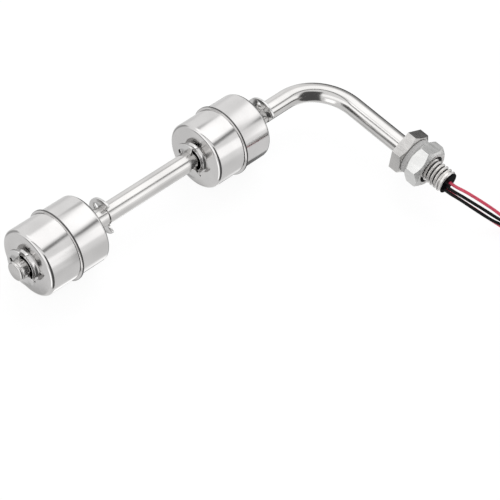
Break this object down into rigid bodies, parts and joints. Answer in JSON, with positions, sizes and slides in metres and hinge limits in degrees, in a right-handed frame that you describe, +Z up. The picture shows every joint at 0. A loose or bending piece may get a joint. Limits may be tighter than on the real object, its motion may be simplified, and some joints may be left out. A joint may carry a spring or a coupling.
{
  "type": "water level sensor",
  "caption": "Elbow float level sensor: bent stainless stem, hollow floats sliding between E-rings, hexagon fitting with M10 thread, washer, nut, and free red and black wires.",
  "frame": {"origin": "centre of the hexagon's seat face, on the thread's axis, where the fitting bears on the tank wall", "axes": "-Y out along the thread, -X along the stem towards its tip, +Z up as the sensor lies flat"},
  "size_m": [0.1997, 0.1281, 0.03],
  "materials": {
    "tube_steel": "polished",
    "float_steel": "polished",
    "spring_steel": "satin",
    "fitting_steel": "brushed",
    "nut_steel": "satin",
    "washer_grey": "matte",
    "black_epoxy": "gloss",
    "board_green": "matte",
    "reed_glass": "clear",
    "blade_metal": "satin",
    "black_sleeve": "satin",
    "magnet_grey": "matte",
    "red_insulation": "satin",
    "black_insulation": "satin"
  },
  "bodies": {
    "stem": {"stem_tube": "tube_steel", "stem_nose_plug": "tube_steel", "lower_stop_ring_outer": "spring_steel", "lower_stop_ring_inner": "spring_steel", "upper_stop_ring_outer": "spring_steel", "upper_stop_ring_inner": "spring_steel", "hex_fitting": "fitting_steel", "sealing_washer": "washer_grey", "mounting_nut": "nut_steel", "epoxy_potting": "black_epoxy", "switch_carrier_strip": "board_green", "lower_reed_capsule": "reed_glass", "lower_reed_blades": "blade_metal", "upper_reed_capsule": "reed_glass", "upper_reed_blades": "blade_metal", "inner_lead_sleeve": "black_sleeve", "red_wire_1": "red_insulation", "red_wire_2": "red_insulation", "black_wire_1": "black_insulation", "black_wire_2": "black_insulation", "wire_coil": "red_insulation"},
    "lower_float": {"lower_float_shell_front": "float_steel", "lower_float_shell_rear": "float_steel", "lower_float_bore_tube": "float_steel", "lower_float_magnet": "magnet_grey"},
    "upper_float": {"upper_float_shell_front": "float_steel", "upper_float_shell_rear": "float_steel", "upper_float_bore_tube": "float_steel", "upper_float_magnet": "magnet_grey"}
  },
  "joints": [
    {"name": "lower_float_slide", "type": "slide", "parent": "stem", "child": "lower_float", "axis": [1, 0, 0], "range_m": [-0.00055, 0.00695]},
    {"name": "upper_float_slide", "type": "slide", "parent": "stem", "child": "upper_float", "axis": [1, 0, 0], "range_m": [-0.00085, 0.00665]}
  ]
}
